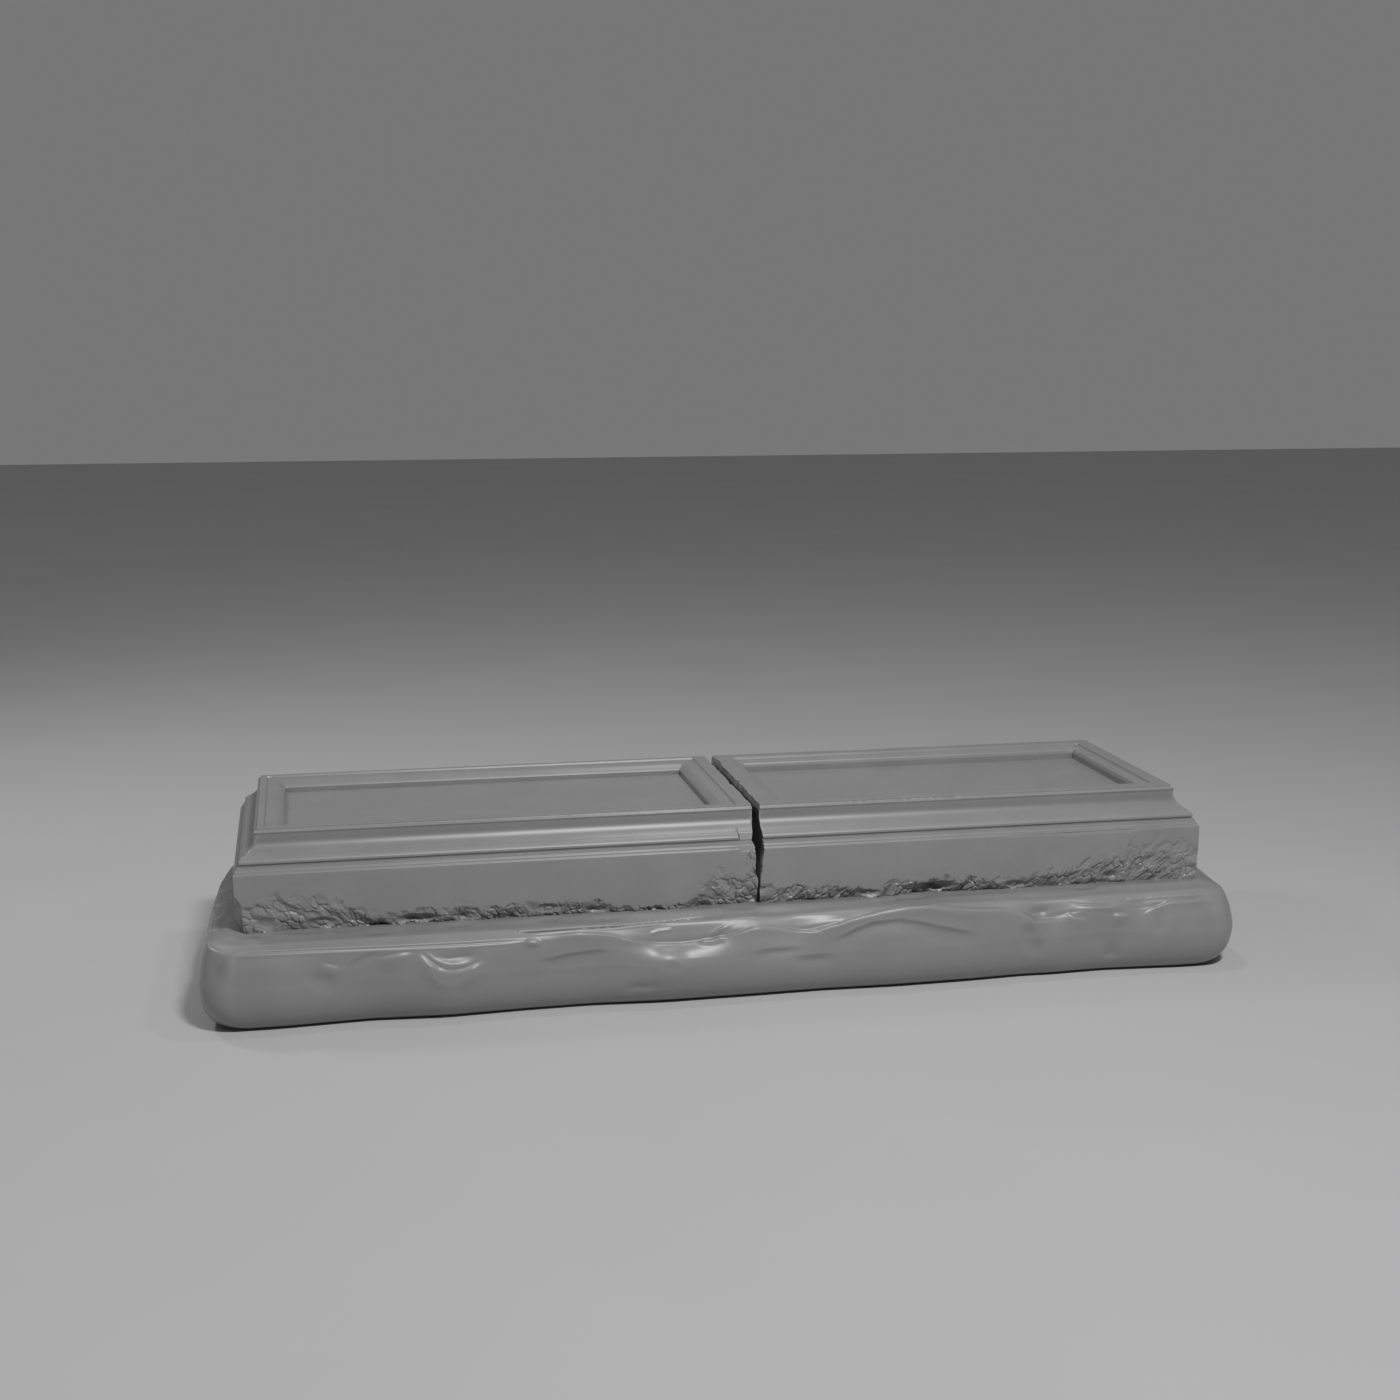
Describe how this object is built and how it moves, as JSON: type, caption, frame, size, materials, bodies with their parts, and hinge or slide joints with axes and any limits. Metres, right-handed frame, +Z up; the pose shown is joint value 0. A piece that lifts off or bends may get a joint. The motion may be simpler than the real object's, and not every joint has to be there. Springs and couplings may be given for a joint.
{
  "type": "double ledger tombstone",
  "caption": "Grave monument: two moulded ledger stones with sunk panels, laid end to end on one low, rounded, weathered base slab",
  "frame": {"origin": "under the middle of the base slab, on the ground", "axes": "+X along the two ledgers towards the shorter one, +Y to the back, +Z up"},
  "size_m": [3.753, 1.2766, 0.6508],
  "materials": {
    "dressed_stone": "grey limestone, rubbed smooth, broken rough along the foot",
    "worn_stone": "grey stone worn smooth and rounded by weather"
  },
  "bodies": {
    "root": {"base_slab": "worn_stone", "ledger_left": "dressed_stone", "ledger_right": "dressed_stone"}
  },
  "joints": []
}
